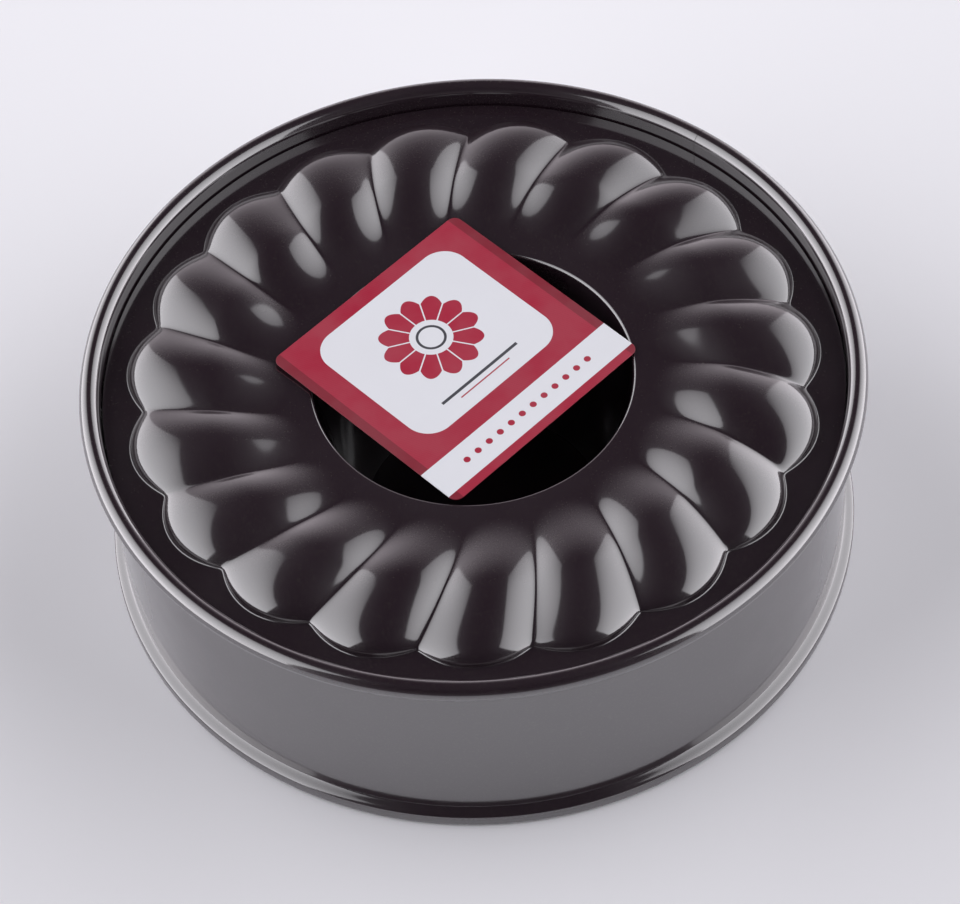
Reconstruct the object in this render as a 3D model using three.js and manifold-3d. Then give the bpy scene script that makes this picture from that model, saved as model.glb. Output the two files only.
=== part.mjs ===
// Springform cake pan with two bottoms, packed as it is sold: a flat bottom in the foot of the ring,
// a fluted tube bottom upside down above it, standing on its chimney, and a card lying on top.
// Millimetres, +Z up. The origin is on the ring's axis, in the plane that the pan stands on.
import * as THREE from 'three';
import { mergeVertices } from 'three/addons/utils/BufferGeometryUtils.js';
import Module from 'manifold-3d';

const wasm = await Module();
wasm.setup();

// Ring: a sheet band with an outward curl at the rim and a hollow foot with an inward lip
const RING_INNER_RADIUS = 120;
const RING_HEIGHT = 79;
const BAND_SHEET = 0.7;
const RIM_CURL_RADIUS = 3.2;
const RIM_CURL_SWEEP = 300;
const FOOT_BULGE = 3.2;
const FOOT_HEIGHT = 4.6;
const FOOT_SHOULDER = 2;
const FOOT_BEND = 0.9;
const LIP_WIDTH = 4;
const SPLIT_ANGLE = 48;
const SPLIT_GAP = 0.5;
const RING_SEGMENTS = 72;
const CURL_STEPS = 7;

// Clearances
const SEAT_GAP = 0.25;
const SLIDE_GAP = 0.6;
const WALL_GAP = 0.3;
const PIN_GAP = 0.3;
const EAR_GAP = 0.4;

// Flat bottom: a shallow dish whose edge lies on the ring's lip
const BASE_SHEET = 0.8;
const PANEL_INSET = 20;
const PANEL_RAMP = 12;

// Tube bottom: flange, swirled crown of lobes, flat land and tapered chimney
const TUBE_SHEET = 0.8;
const FLANGE_HEIGHT = 71.2;
const LAND_HEIGHT = 73.5;
const CREST_RISE = 5.3;
const VALLEY_RISE = 2.2;
const LOBE_COUNT = 19;
const FLANGE_WIDTH = 8;
const LOBE_INNER_RADIUS = 56;
const OUTER_NOTCH = 5.5;
const INNER_NOTCH = 5.4;
const DOME_RUN = 26;
const FALL_START = 0.46;
const SWIRL = 7.4;
const FIRST_VALLEY = 10.9;
const MOUTH_RADIUS = 51.5;
const MOUTH_BEND = 1.2;
const CHIMNEY_END_RADIUS = 40;
const STEPS_PER_LOBE = 6;
const SWIRL_STEPS = 12;
const CROWN_SHARES = [0, 0.012, 0.04, 0.09, 0.17, 0.28, 0.46, 0.64, 0.82, 1];

// Card
const CARD_SIDE = 83.7;
const CARD_THICKNESS = 0.5;
const CARD_CORNER = 3;
const CARD_CORNER_STEPS = 4;
const CARD_TURN = 41.8;
const CARD_LEAN = 0.6;
const CARD_X = -5;
const CARD_Y = 8;
const CARD_EDGE_STEPS = 240;

// Latch: sizes along the wall are measured from the split, sizes out from the wall's outer face
const LATCH_HEIGHT = 40;
const LATCH_SHEET = 1.2;
const HINGE_PLATE_START = 4;
const HINGE_PLATE_END = 31;
const EAR_NOSE = 4;
const EAR_ROOT = 6;
const PIVOT_ALONG = 14;
const PIVOT_OUT = 6.5;
const LINK_PIVOT_ALONG = 22;
const LINK_PIVOT_OUT = 7.8;
const LEVER_HALF_HEIGHT = 10;
const LEVER_FLANGE_END = 34;
const LEVER_WEB_OUT = 10.6;
const LINK_SWING_ROOM = 3.4;
const GRIP_ALONG = 50;
const GRIP_OUT = 4.6;
const GRIP_END_ALONG = 64;
const GRIP_END_OUT = 8;
const GRIP_TAPER = 0.6;
const LEVER_STEPS = 18;
const CATCH_PLATE_START = -30;
const CATCH_PLATE_END = -9;
const CATCH_HALF_HEIGHT = 10;
const HOOK_HALF_WIDTH = 4.2;
const HOOK_OUT = 7.4;
const HOOK_LEAN = 0.9;
const HOOK_CLEARANCE = 0.6;
const BAR_ALONG = -18;
const BAR_OUT = 4.5;
const WIRE_RADIUS = 1.1;
const WIRE_BEND = 2.4;
const WIRE_STEPS = 40;
const LINK_HALF_WIDTH = 6.5;
const RIVET_SHANK_RADIUS = 1.5;
const RIVET_HEAD_RADIUS = 2.7;
const RIVET_HEAD_HEIGHT = 1.2;
const RIVET_DOME_RADIUS = 0.8 * RIVET_HEAD_RADIUS;
const RIVET_DOME_HEIGHT = 0.7 * RIVET_HEAD_HEIGHT;
const RIVET_SPREAD = 5.2;
const HINGE_RIVET_ALONG = 27;
const CATCH_RIVET_ALONG = -25;
const ROUND_SIDES = 16;

const WALL_MIDDLE = RING_INNER_RADIUS + BAND_SHEET / 2;
const WALL_OUTER = RING_INNER_RADIUS + BAND_SHEET;
const LOOSE_RADIUS = RING_INNER_RADIUS - SLIDE_GAP;
const PANEL_RADIUS = RING_INNER_RADIUS - PANEL_INSET;
const LOBE_OUTER_RADIUS = RING_INNER_RADIUS - FLANGE_WIDTH;
const BASE_SEAT = BAND_SHEET + SEAT_GAP;
const CHIMNEY_END = BASE_SHEET + SEAT_GAP;

const COAT = new THREE.MeshStandardMaterial({ color: 0x231c1c, roughness: 0.28, metalness: 0.2 });
const PLATED = new THREE.MeshStandardMaterial({ color: 0xb9bcc0, roughness: 0.3, metalness: 1 });
const PRINTED = new THREE.MeshStandardMaterial({ color: 0xa82238, roughness: 0.45, metalness: 0 });

const radians = THREE.MathUtils.degToRad;

// Merge equal vertices and leave out triangles that collapse on the axis of a turned shape
function weld(geometry) {
  geometry.deleteAttribute('normal');
  geometry.deleteAttribute('uv');
  const merged = mergeVertices(geometry, 1e-5);
  const kept = [];
  const index = merged.index.array;
  for (let i = 0; i < index.length; i += 3) {
    const [a, b, c] = [index[i], index[i + 1], index[i + 2]];
    if (a !== b && b !== c && c !== a) kept.push(a, b, c);
  }
  merged.setIndex(kept);
  return merged;
}

function toSolid(geometry) {
  const merged = weld(geometry);
  const vertProperties = new Float32Array(merged.attributes.position.array);
  const triVerts = new Uint32Array(merged.index.array);
  return new wasm.Manifold(new wasm.Mesh({ numProp: 3, vertProperties, triVerts }));
}

function fromSolid(solid) {
  const { vertProperties, triVerts } = solid.getMesh();
  const geometry = new THREE.BufferGeometry();
  geometry.setAttribute('position', new THREE.BufferAttribute(vertProperties, 3));
  geometry.setIndex(new THREE.BufferAttribute(triVerts, 1));
  geometry.computeVertexNormals();
  return geometry;
}

function joined(geometries) {
  return geometries.map(toSolid).reduce((whole, piece) => whole.add(piece));
}

function cut(solid, geometries) {
  return geometries.map(toSolid).reduce((whole, piece) => whole.subtract(piece), solid);
}

// Outline of a bent sheet whose middle line is the path, with mitred corners
function sheetOutline(path, thickness) {
  const sides = [[], []];
  path.forEach((point, i) => {
    const before = path[Math.max(i - 1, 0)];
    const after = path[Math.min(i + 1, path.length - 1)];
    const into = (i > 0 ? point.clone().sub(before) : after.clone().sub(point)).normalize();
    const out = (i < path.length - 1 ? after.clone().sub(point) : into.clone()).normalize();
    const along = into.clone().add(out).normalize();
    const reach = thickness / 2 / along.dot(into);
    const normal = new THREE.Vector2(-along.y, along.x).multiplyScalar(reach);
    sides[0].push(point.clone().add(normal));
    sides[1].unshift(point.clone().sub(normal));
  });
  return [...sides[0], ...sides[1]];
}

// Turn a closed outline of (radius, height) points about the Z axis
function turned(outline, segments) {
  const points = THREE.ShapeUtils.isClockWise(outline) ? [...outline].reverse() : outline;
  const geometry = new THREE.LatheGeometry([...points, points[0]], segments);
  return weld(geometry.rotateX(Math.PI / 2));
}

function extruded(shape, low, high, curveSegments = 8) {
  const options = { depth: high - low, bevelEnabled: false, curveSegments };
  return new THREE.ExtrudeGeometry(shape, options).translate(0, 0, low);
}

function upright(radius, low, high, place) {
  const geometry = new THREE.CylinderGeometry(radius, radius, high - low, ROUND_SIDES);
  return geometry.rotateX(Math.PI / 2).translate(place.x, place.y, (low + high) / 2);
}

// Point in the latch's own frame: along the wall from the split, and out from the wall
function onWall(along, out) {
  const angle = along / WALL_OUTER;
  const radius = WALL_OUTER + out;
  return new THREE.Vector2(radius * Math.sin(angle), radius * Math.cos(angle));
}

const PIVOT = onWall(PIVOT_ALONG, PIVOT_OUT);
const LINK_PIVOT = onWall(LINK_PIVOT_ALONG, LINK_PIVOT_OUT);
const BAR = onWall(BAR_ALONG, BAR_OUT);
const EAR_INNER = LEVER_HALF_HEIGHT + EAR_GAP;
const EAR_OUTER = EAR_INNER + LATCH_SHEET;
const PLATE_INNER = WALL_GAP;
const PLATE_OUTER = WALL_GAP + LATCH_SHEET;

function ringBand() {
  const curlMiddle = RIM_CURL_RADIUS - BAND_SHEET / 2;
  const curlCentre = new THREE.Vector2(WALL_MIDDLE + curlMiddle, RING_HEIGHT - RIM_CURL_RADIUS);
  const footMiddle = WALL_MIDDLE + FOOT_BULGE;
  const path = [
    new THREE.Vector2(RING_INNER_RADIUS - LIP_WIDTH, BAND_SHEET / 2),
    new THREE.Vector2(footMiddle - FOOT_BEND, BAND_SHEET / 2),
    new THREE.Vector2(footMiddle, BAND_SHEET / 2 + FOOT_BEND),
    new THREE.Vector2(footMiddle, FOOT_HEIGHT),
    new THREE.Vector2(WALL_MIDDLE, FOOT_HEIGHT + FOOT_SHOULDER),
  ];
  for (let i = 0; i <= CURL_STEPS; i += 1) {
    const angle = radians(180 - (RIM_CURL_SWEEP * i) / CURL_STEPS);
    const spoke = new THREE.Vector2(Math.cos(angle), Math.sin(angle));
    path.push(curlCentre.clone().addScaledVector(spoke, curlMiddle));
  }
  const band = toSolid(turned(sheetOutline(path, BAND_SHEET), RING_SEGMENTS));
  const reach = 2 * (LIP_WIDTH + FOOT_BULGE + 2 * RIM_CURL_RADIUS);
  const split = new THREE.BoxGeometry(SPLIT_GAP, reach, 2 * RING_HEIGHT);
  split.translate(0, RING_INNER_RADIUS, RING_HEIGHT / 2);
  const holes = [HINGE_RIVET_ALONG, CATCH_RIVET_ALONG].flatMap((along) => rivetHoles(along));
  const cuts = [split, ...holes.map((hole) => hole.translate(0, 0, LATCH_HEIGHT))];
  return fromSolid(cut(band, cuts.map((piece) => piece.rotateZ(radians(SPLIT_ANGLE - 90)))));
}

function flatBase() {
  const rimStart = PANEL_RADIUS + PANEL_RAMP;
  const outline = [
    new THREE.Vector2(0, 0),
    new THREE.Vector2(PANEL_RADIUS, 0),
    new THREE.Vector2(rimStart, BASE_SEAT),
    new THREE.Vector2(LOOSE_RADIUS, BASE_SEAT),
    new THREE.Vector2(LOOSE_RADIUS, BASE_SEAT + BASE_SHEET),
    new THREE.Vector2(rimStart, BASE_SEAT + BASE_SHEET),
    new THREE.Vector2(PANEL_RADIUS, BASE_SHEET),
    new THREE.Vector2(0, BASE_SHEET),
  ];
  return turned(outline, RING_SEGMENTS);
}

// Crown of lobes: share runs from the foot on the flange (0) to the foot on the land (1), fullness
// from a valley (0) to a crest (1), and inset drops the surface by a part of the sheet. A lobe rises
// from the flange as a quarter of an ellipse and falls off towards the land in an S
function crownPoint(share, fullness, inset) {
  const outer = LOBE_OUTER_RADIUS - OUTER_NOTCH * (1 - fullness) - inset;
  const inner = LOBE_INNER_RADIUS + INNER_NOTCH * (1 - fullness);
  const toGo = Math.max(1 - (share * (outer - inner)) / DOME_RUN, 0);
  const dome = Math.sqrt(1 - toGo ** 2);
  const fall = THREE.MathUtils.smoothstep(share, FALL_START, 1);
  const rise = VALLEY_RISE + (CREST_RISE - VALLEY_RISE) * fullness;
  return {
    radius: outer + (inner - outer) * share,
    height: FLANGE_HEIGHT - inset + (LAND_HEIGHT - FLANGE_HEIGHT + rise) * dome - rise * fall,
    turn: SWIRL * share,
  };
}

// Rows of the tube bottom's upper or lower face, from the flange's edge to the chimney's end
function tubeRows(inset) {
  const fixed = (radius, height, turn) => () => ({ radius, height, turn });
  return [
    fixed(LOOSE_RADIUS, FLANGE_HEIGHT - inset, 0),
    ...CROWN_SHARES.map((share) => (fullness) => crownPoint(share, fullness, inset)),
    fixed(MOUTH_RADIUS + MOUTH_BEND + inset, LAND_HEIGHT - inset, SWIRL),
    fixed(MOUTH_RADIUS + inset, LAND_HEIGHT - MOUTH_BEND - inset, SWIRL),
    fixed(CHIMNEY_END_RADIUS + inset, CHIMNEY_END, SWIRL),
  ];
}

function tubeBase() {
  const rows = [...tubeRows(0), ...tubeRows(TUBE_SHEET).reverse()];
  const steps = LOBE_COUNT * STEPS_PER_LOBE;
  const position = [];
  for (const row of rows) {
    for (let j = 0; j < steps; j += 1) {
      const across = (2 * (j % STEPS_PER_LOBE)) / STEPS_PER_LOBE - 1;
      const point = row(1 - across * across);
      const angle = radians(FIRST_VALLEY + (360 * j) / steps + point.turn);
      position.push(point.radius * Math.cos(angle), point.radius * Math.sin(angle), point.height);
    }
  }
  const index = [];
  for (let i = 0; i < rows.length; i += 1) {
    const next = (i + 1) % rows.length;
    for (let j = 0; j < steps; j += 1) {
      const [a, b] = [i * steps + j, i * steps + ((j + 1) % steps)];
      const [c, d] = [next * steps + j, next * steps + ((j + 1) % steps)];
      index.push(a, b, c, b, d, c);
    }
  }
  const geometry = new THREE.BufferGeometry();
  geometry.setAttribute('position', new THREE.Float32BufferAttribute(position, 3));
  geometry.setIndex(index);
  geometry.computeVertexNormals();
  return geometry;
}

// Height of the tube bottom's upper face at a place, found by turning the swirl back step by step
function tubeHeight(place) {
  if (place.length() < MOUTH_RADIUS) return CHIMNEY_END;
  const angle = THREE.MathUtils.radToDeg(place.angle()) - FIRST_VALLEY;
  let [share, fullness] = [1, 0];
  for (let i = 0; i < SWIRL_STEPS; i += 1) {
    const lobe = ((angle - SWIRL * share) * LOBE_COUNT) / 360;
    fullness = 1 - (2 * (lobe - Math.floor(lobe)) - 1) ** 2;
    const outer = crownPoint(0, fullness, 0).radius;
    const inner = crownPoint(1, fullness, 0).radius;
    share = THREE.MathUtils.clamp((outer - place.length()) / (outer - inner), 0, 1);
  }
  return crownPoint(share, fullness, 0).height;
}

function cardShape() {
  const [half, round] = [CARD_SIDE / 2, CARD_CORNER];
  const shape = new THREE.Shape();
  shape.absarc(half - round, half - round, round, 0, Math.PI / 2);
  shape.absarc(round - half, half - round, round, Math.PI / 2, Math.PI);
  shape.absarc(round - half, round - half, round, Math.PI, 1.5 * Math.PI);
  shape.absarc(half - round, round - half, round, 1.5 * Math.PI, 2 * Math.PI);
  return shape;
}

// The card leans: one corner lies on the crown's inner ends, the next one on the land
function card() {
  const centre = new THREE.Vector2(CARD_X, CARD_Y);
  const lean = radians(CARD_LEAN);
  const lifts = cardShape().getSpacedPoints(CARD_EDGE_STEPS).map((point) => {
    const place = point.clone().add(centre).rotateAround(centre, radians(CARD_TURN));
    return tubeHeight(place) - point.y * Math.sin(lean);
  });
  const leaning = extruded(cardShape(), 0, CARD_THICKNESS, CARD_CORNER_STEPS).rotateX(lean);
  const height = Math.max(...lifts) + SEAT_GAP;
  return leaning.rotateZ(radians(CARD_TURN)).translate(CARD_X, CARD_Y, height);
}

// Plate bent to the wall, upright between two heights
function wallPlate(start, end, halfHeight) {
  const [first, last] = [start, end].map((along) => Math.PI / 2 - along / WALL_OUTER);
  const shape = new THREE.Shape();
  shape.absarc(0, 0, WALL_OUTER + PLATE_OUTER, first, last, true);
  shape.absarc(0, 0, WALL_OUTER + PLATE_INNER, last, first, false);
  return extruded(shape, -halfHeight, halfHeight);
}

// Ear standing out from the hinge plate, with a round nose about the pivot
function ear(low, high) {
  const outward = Math.PI / 2 - PIVOT_ALONG / WALL_OUTER;
  const across = new THREE.Vector2(Math.sin(outward), -Math.cos(outward));
  const root = onWall(PIVOT_ALONG, (PLATE_INNER + PLATE_OUTER) / 2);
  const shape = new THREE.Shape();
  shape.absarc(PIVOT.x, PIVOT.y, EAR_NOSE, outward - Math.PI / 2, outward + Math.PI / 2);
  shape.lineTo(root.x - EAR_ROOT * across.x, root.y - EAR_ROOT * across.y);
  shape.lineTo(root.x + EAR_ROOT * across.x, root.y + EAR_ROOT * across.y);
  return extruded(shape, low, high);
}

function rivetHoles(along) {
  const place = onWall(along, 0);
  return [-1, 1].map((side) => {
    const length = 4 * (PLATE_OUTER + BAND_SHEET);
    const hole = new THREE.CylinderGeometry(
      RIVET_SHANK_RADIUS + PIN_GAP, RIVET_SHANK_RADIUS + PIN_GAP, length, ROUND_SIDES);
    return hole.rotateZ(-along / WALL_OUTER).translate(place.x, place.y, side * RIVET_SPREAD);
  });
}

function hingeBracket() {
  const plate = wallPlate(HINGE_PLATE_START, HINGE_PLATE_END, EAR_OUTER);
  const body = joined([plate, ear(EAR_INNER, EAR_OUTER), ear(-EAR_OUTER, -EAR_INNER)]);
  const bore = upright(RIVET_SHANK_RADIUS + PIN_GAP, -2 * EAR_OUTER, 2 * EAR_OUTER, PIVOT);
  return fromSolid(cut(body, [bore, ...rivetHoles(HINGE_RIVET_ALONG)]));
}

function catchBracket() {
  const face = BAR_ALONG + WIRE_RADIUS + HOOK_CLEARANCE + LATCH_SHEET / 2;
  const path = [
    onWall(face + LATCH_SHEET, (PLATE_INNER + PLATE_OUTER) / 2),
    onWall(face, BAR_OUT),
    onWall(face - HOOK_LEAN, HOOK_OUT),
  ];
  const shape = new THREE.Shape(sheetOutline(path, LATCH_SHEET));
  const hook = extruded(shape, -HOOK_HALF_WIDTH, HOOK_HALF_WIDTH);
  const body = joined([wallPlate(CATCH_PLATE_START, CATCH_PLATE_END, CATCH_HALF_HEIGHT), hook]);
  return fromSolid(cut(body, rivetHoles(CATCH_RIVET_ALONG)));
}

// Flange of the lever's channel, round about the pivot and narrowing towards the grip
function leverFlange(low, high) {
  const outward = Math.PI / 2 - PIVOT_ALONG / WALL_OUTER;
  const shape = new THREE.Shape();
  shape.absarc(PIVOT.x, PIVOT.y, EAR_NOSE, outward - Math.PI, outward, true);
  const corners = [
    onWall(PIVOT_ALONG, LEVER_WEB_OUT),
    onWall((PIVOT_ALONG + LEVER_FLANGE_END) / 2, LEVER_WEB_OUT),
    onWall(LEVER_FLANGE_END, LEVER_WEB_OUT - LATCH_SHEET),
    onWall(LINK_PIVOT_ALONG + EAR_NOSE, PIVOT_OUT - EAR_NOSE),
  ];
  corners.forEach((corner) => shape.lineTo(corner.x, corner.y));
  return extruded(shape, low, high);
}

// Web and grip of the lever: a strip along a smooth line, drawn in towards its end. It starts past the
// link's pivot, so that the link can swing out between the flanges
function leverStrip() {
  const webStart = LINK_PIVOT_ALONG + LINK_SWING_ROOM;
  const line = new THREE.SplineCurve([
    onWall(webStart, LEVER_WEB_OUT),
    onWall((webStart + LEVER_FLANGE_END) / 2, LEVER_WEB_OUT),
    onWall(LEVER_FLANGE_END, LEVER_WEB_OUT - LATCH_SHEET),
    onWall(GRIP_ALONG, GRIP_OUT),
    onWall(GRIP_END_ALONG, GRIP_END_OUT),
  ]);
  const shape = new THREE.Shape(sheetOutline(line.getPoints(LEVER_STEPS), LATCH_SHEET));
  const strip = extruded(shape, -LEVER_HALF_HEIGHT, LEVER_HALF_HEIGHT);
  const position = strip.attributes.position;
  for (let i = 0; i < position.count; i += 1) {
    const along = WALL_OUTER * Math.atan2(position.getX(i), position.getY(i));
    const drawn = THREE.MathUtils.smoothstep(along, LEVER_FLANGE_END, GRIP_END_ALONG);
    position.setZ(i, position.getZ(i) * (1 - (1 - GRIP_TAPER) * drawn));
  }
  return strip;
}

function latchLever() {
  const inside = LEVER_HALF_HEIGHT - LATCH_SHEET;
  const flanges = [leverFlange(inside, LEVER_HALF_HEIGHT), leverFlange(-LEVER_HALF_HEIGHT, -inside)];
  const body = joined([leverStrip(), ...flanges]);
  const tall = 2 * LEVER_HALF_HEIGHT;
  const bore = upright(RIVET_SHANK_RADIUS + PIN_GAP, -tall, tall, PIVOT);
  const eye = upright(WIRE_RADIUS + PIN_GAP, -tall, tall, LINK_PIVOT);
  return fromSolid(cut(body, [bore, eye]));
}

// Wire link: a bail with its two ends turned out into the lever's flanges
function wireLink() {
  const end = LEVER_HALF_HEIGHT + EAR_GAP - PIN_GAP;
  const corners = [
    new THREE.Vector3(LINK_PIVOT.x, LINK_PIVOT.y, end),
    new THREE.Vector3(LINK_PIVOT.x, LINK_PIVOT.y, LINK_HALF_WIDTH),
    new THREE.Vector3(BAR.x, BAR.y, LINK_HALF_WIDTH),
    new THREE.Vector3(BAR.x, BAR.y, -LINK_HALF_WIDTH),
    new THREE.Vector3(LINK_PIVOT.x, LINK_PIVOT.y, -LINK_HALF_WIDTH),
    new THREE.Vector3(LINK_PIVOT.x, LINK_PIVOT.y, -end),
  ];
  const route = new THREE.CurvePath();
  let from = corners[0];
  for (let i = 1; i < corners.length - 1; i += 1) {
    const [corner, after] = [corners[i], corners[i + 1]];
    const enter = corner.clone().add(from.clone().sub(corner).setLength(WIRE_BEND));
    const leave = corner.clone().add(after.clone().sub(corner).setLength(WIRE_BEND));
    route.add(new THREE.LineCurve3(from, enter));
    route.add(new THREE.QuadraticBezierCurve3(enter, corner, leave));
    from = leave;
  }
  route.add(new THREE.LineCurve3(from, corners.at(-1)));
  const section = new THREE.Shape().absarc(0, 0, WIRE_RADIUS, 0, 2 * Math.PI);
  const curveSegments = ROUND_SIDES / 4;
  const options = { steps: WIRE_STEPS, extrudePath: route, bevelEnabled: false, curveSegments };
  return weld(new THREE.ExtrudeGeometry(section, options));
}

// Rivet along +Z: the shank starts at its tail and the low dome sits on the level of the head
function rivet(tail, headLevel) {
  return turned([
    new THREE.Vector2(0, tail),
    new THREE.Vector2(RIVET_SHANK_RADIUS, tail),
    new THREE.Vector2(RIVET_SHANK_RADIUS, headLevel),
    new THREE.Vector2(RIVET_HEAD_RADIUS, headLevel),
    new THREE.Vector2(RIVET_DOME_RADIUS, headLevel + RIVET_DOME_HEIGHT),
    new THREE.Vector2(0, headLevel + RIVET_HEAD_HEIGHT),
  ], ROUND_SIDES);
}

// Rivet through a bracket and the band, its tail level with the band's inside
function wallRivet(name, along, level) {
  const mesh = named(name, rivet(-BAND_SHEET, PLATE_OUTER + SEAT_GAP), PLATED);
  const place = onWall(along, 0);
  mesh.rotation.set(-Math.PI / 2, 0, 0);
  const aimed = new THREE.Group().add(mesh);
  aimed.rotation.z = -along / WALL_OUTER;
  aimed.position.set(place.x, place.y, level);
  return aimed;
}

// Stub rivet through an ear and the lever's flange beside it
function pivotRivet(name, side) {
  const tail = LEVER_HALF_HEIGHT - LATCH_SHEET - PIN_GAP;
  const mesh = named(name, rivet(tail, EAR_OUTER + SEAT_GAP), PLATED);
  mesh.rotation.x = side > 0 ? 0 : Math.PI;
  mesh.position.set(PIVOT.x, PIVOT.y, 0);
  return mesh;
}

function named(name, geometry, material) {
  const mesh = new THREE.Mesh(geometry, material);
  mesh.name = name;
  return mesh;
}

function latch() {
  const group = new THREE.Group();
  group.position.z = LATCH_HEIGHT;
  group.rotation.z = radians(SPLIT_ANGLE - 90);
  group.add(named('hinge_bracket', hingeBracket(), PLATED));
  group.add(named('catch_bracket', catchBracket(), PLATED));
  group.add(named('latch_lever', latchLever(), PLATED));
  group.add(named('wire_link', wireLink(), PLATED));
  for (const [side, word] of [[1, 'upper'], [-1, 'lower']]) {
    group.add(pivotRivet(`pivot_rivet_${word}`, side));
    group.add(wallRivet(`hinge_rivet_${word}`, HINGE_RIVET_ALONG, side * RIVET_SPREAD));
    group.add(wallRivet(`catch_rivet_${word}`, CATCH_RIVET_ALONG, side * RIVET_SPREAD));
  }
  return group;
}

const pan = new THREE.Group();
pan.add(named('ring_band', ringBand(), COAT));
pan.add(named('flat_base', flatBase(), COAT));
pan.add(named('tube_base', tubeBase(), COAT));
pan.add(named('card', card(), PRINTED));
pan.add(latch());

export default pan;
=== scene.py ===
"""Looks of the springform cake pan: its coated ring and bottoms, the card and the plated latch."""

import math

import bmesh
import bpy
import numpy as np
from bpy.props import FloatProperty, FloatVectorProperty, IntProperty, PointerProperty
from bpy.types import Operator, Panel, PropertyGroup
from mathutils import Matrix, Vector


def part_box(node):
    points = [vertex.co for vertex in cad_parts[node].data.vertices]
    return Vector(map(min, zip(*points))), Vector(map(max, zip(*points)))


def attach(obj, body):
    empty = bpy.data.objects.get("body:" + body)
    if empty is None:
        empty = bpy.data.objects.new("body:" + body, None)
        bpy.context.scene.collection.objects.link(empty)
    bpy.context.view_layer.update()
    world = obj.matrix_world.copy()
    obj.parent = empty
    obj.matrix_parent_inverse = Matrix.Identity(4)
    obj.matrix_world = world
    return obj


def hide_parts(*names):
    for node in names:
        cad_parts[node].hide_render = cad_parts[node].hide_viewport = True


bl_info = {
    "name": "Springform cake pan",
    "version": (1, 0, 0),
    "blender": (4, 5, 0),
    "location": "3D View > Sidebar > Cake pan",
    "description": "Coated, printed and plated pieces of a springform cake pan",
    "category": "Object",
}

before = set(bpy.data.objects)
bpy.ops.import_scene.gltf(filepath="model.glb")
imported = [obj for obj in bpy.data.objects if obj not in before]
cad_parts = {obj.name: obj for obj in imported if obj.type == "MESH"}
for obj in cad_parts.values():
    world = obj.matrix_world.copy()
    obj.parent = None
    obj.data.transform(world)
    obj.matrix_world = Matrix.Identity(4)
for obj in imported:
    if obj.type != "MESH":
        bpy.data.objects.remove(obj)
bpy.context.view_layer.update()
MM = 0.001
SMOOTH_ANGLE = math.radians(32)  # faces that meet at more than this are shaded with a sharp edge
FLAT_ANGLE = math.radians(1)  # faces of a plate that meet at less than this are one flat face
GRID_MERGE = 0.0001 * MM  # points of a grid that are closer than this are one, as at poles and seams
PLATE_MERGE = 0.001 * MM  # the same for the points of a plate's CAD shape
BEVEL_MERGE = 0.0002 * MM  # the same for the points that a bevel brings together


# Properties


def length(name, description, millimetres):
    """A length property with its default given in millimetres."""
    return FloatProperty(name=name, description=description, default=millimetres * MM,
                         unit="LENGTH", precision=5)


def turn(name, description, degrees):
    """An angle property with its default given in degrees."""
    return FloatProperty(name=name, description=description, default=math.radians(degrees),
                         subtype="ANGLE")


def share(name, description, default):
    """A plain number property."""
    return FloatProperty(name=name, description=description, default=default, precision=3)


def power(name, description, watts):
    """A lamp's power property."""
    return FloatProperty(name=name, description=description, default=watts, unit="POWER")


def tint(name, description, colour):
    """A linear colour property."""
    return FloatVectorProperty(name=name, description=description, default=colour, size=3,
                               subtype="COLOR", min=0, max=1)


class RingSizes(PropertyGroup):
    """Sizes of the sheet band with its rolled rim and hollow foot."""

    inner_radius: length("Inner radius", "Inside radius of the band", 120)
    height: length("Height", "Height from the foot's lip to the top of the rim", 79)
    sheet: length("Sheet", "Thickness of the band", 0.7)
    curl_radius: length("Rim curl", "Outer radius of the rim's roll", 3.2)
    curl_sweep: turn("Curl sweep", "Angle that the rim is rolled through", 300)
    foot_bulge: length("Foot bulge", "How far the foot stands out from the wall", 3.2)
    foot_height: length("Foot height", "Height of the foot's upright part", 4.6)
    foot_shoulder: length("Foot shoulder", "Height of the slope from the foot to the wall", 2)
    foot_bend: length("Foot bend", "Radius of the foot's lower bend", 1.3)
    lip_width: length("Lip width", "How far the lip reaches in under the bottoms", 4)
    split_angle: turn("Split angle", "Where the band is parted, from +X", 48)
    split_gap: length("Split gap", "Width of the gap between the band's ends", 0.14)
    segments: IntProperty(name="Segments", description="Steps round the band", default=320)


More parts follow.
